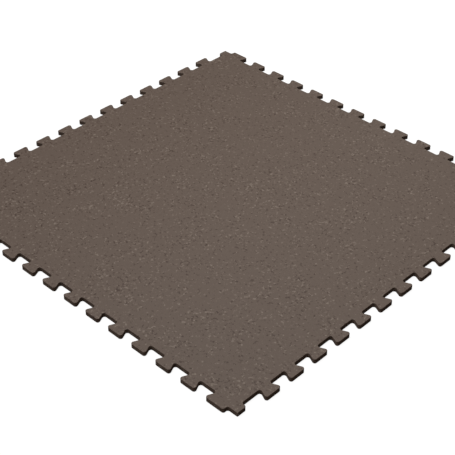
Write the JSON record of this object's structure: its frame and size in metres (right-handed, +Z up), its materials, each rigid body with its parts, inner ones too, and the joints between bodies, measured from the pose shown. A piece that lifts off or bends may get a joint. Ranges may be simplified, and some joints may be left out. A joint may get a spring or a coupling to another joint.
{
  "type": "interlocking pvc floor tile",
  "caption": "Square flexible PVC floor tile, one thin moulded sheet whose sides carry dovetail teeth and recesses that lock into like tiles.",
  "frame": {"origin": "centre of the underside, on the floor that the tile lies on", "axes": "+Z up out of the walking surface; X and Y along the sides, with the profile of each side a quarter turn of the next about Z"},
  "size_m": [0.5124, 0.5124, 0.0055],
  "materials": {
    "pvc": "matte taupe brown, coloured through, with fine pale and dark flecks"
  },
  "bodies": {
    "root": {"floor_tile": "pvc"}
  },
  "joints": []
}
